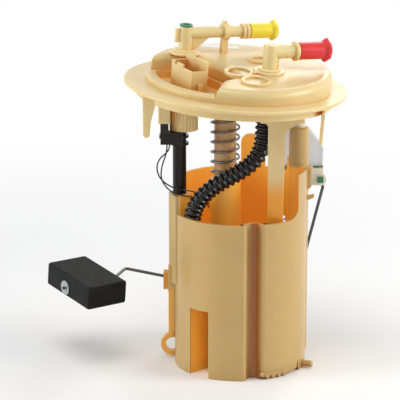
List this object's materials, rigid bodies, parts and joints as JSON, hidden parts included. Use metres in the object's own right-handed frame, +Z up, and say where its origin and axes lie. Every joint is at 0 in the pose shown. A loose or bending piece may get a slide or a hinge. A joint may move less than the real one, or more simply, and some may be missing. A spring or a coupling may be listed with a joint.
{
  "type": "fuel tank sending unit",
  "caption": "Sprung fuel tank sending unit: a nozzle cover on guide rods over a swirl pot, with a corrugated pickup hose, a level sensor and a float on a bent arm.",
  "frame": {"origin": "middle of the reservoir pot at the surface it stands on", "axes": "+Z up along the pot towards the cover, -Y towards the side with the moulded groove, -X towards the float"},
  "size_m": [0.205, 0.1499, 0.2334],
  "materials": {
    "cream_plastic": "moulded, slightly satin",
    "natural_plastic": "moulded, natural, slightly translucent",
    "white_plastic": "moulded, white, satin",
    "milky_plastic": "moulded, milky and translucent",
    "black_plastic": "moulded, black",
    "dark_brown_plastic": "moulded, very dark brown",
    "green_plastic": "moulded, green",
    "yellow_plastic": "moulded, yellow",
    "red_plastic": "moulded, red",
    "float_black": "foamed nitrile, fine matt skin",
    "hose_black": "corrugated, black, satin",
    "spring_steel": "drawn wire",
    "arm_steel": "drawn wire, bent",
    "retainer_steel": "pressed",
    "contact_brass": "stamped",
    "mesh_plastic": "woven mesh in a frame",
    "card_ceramic": "ceramic card with printed tracks",
    "rubber_red": "moulded rubber",
    "wire_black": "insulated wire"
  },
  "bodies": {
    "pot": {"reservoir_pot": "cream_plastic", "bottom_cover": "natural_plastic", "inlet_screen": "mesh_plastic", "pickup_body": "natural_plastic", "pickup_screen": "mesh_plastic", "corrugated_hose": "hose_black", "coil_spring": "spring_steel", "sensor_bracket": "white_plastic", "sensor_seal": "green_plastic", "sensor_cover": "milky_plastic", "resistor_card": "card_ceramic", "sensor_wire_a": "wire_black", "sensor_wire_b": "wire_black"},
    "flange": {"flange_cover": "cream_plastic", "connector_blades": "contact_brass", "feed_nozzle": "natural_plastic", "return_nozzle": "natural_plastic", "feed_marker_ring": "green_plastic", "spring_guide_rod": "natural_plastic", "side_guide_rod": "white_plastic", "return_pipe": "dark_brown_plastic", "harness_plug": "dark_brown_plastic"},
    "float_arm_group": {"float_arm": "arm_steel", "wire_holder": "green_plastic", "wiper": "contact_brass", "float": "float_black", "float_retainer": "retainer_steel"},
    "inlet_valve_disc": {"inlet_valve": "rubber_red"},
    "feed_cap_body": {"feed_cap": "yellow_plastic"},
    "return_cap_body": {"return_cap": "red_plastic"}
  },
  "joints": [
    {"name": "flange_slide", "type": "slide", "parent": "pot", "child": "flange", "axis": [0, 0, 1], "range_m": [-0.024, 0], "stiffness_N_per_m": 600, "springref_m": 0.02, "deforming": ["coil_spring", "corrugated_hose", "sensor_wire_a", "sensor_wire_b"]},
    {"name": "float_arm_hinge", "type": "hinge", "parent": "pot", "child": "float_arm_group", "pos_m": [0.0564, 0.0476, 0.1196], "axis": [0, 1, 0], "range_deg": [0, 35]},
    {"name": "inlet_valve_lift", "type": "slide", "parent": "pot", "child": "inlet_valve_disc", "axis": [0, 0, 1], "range_m": [0, 0.0015]},
    {"name": "feed_cap_pull", "type": "slide", "parent": "flange", "child": "feed_cap_body", "axis": [0.9099, 0.4126, -0.0442], "range_m": [0, 0.022]},
    {"name": "return_cap_pull", "type": "slide", "parent": "flange", "child": "return_cap_body", "axis": [0.9099, 0.4126, -0.0442], "range_m": [0, 0.024]}
  ]
}
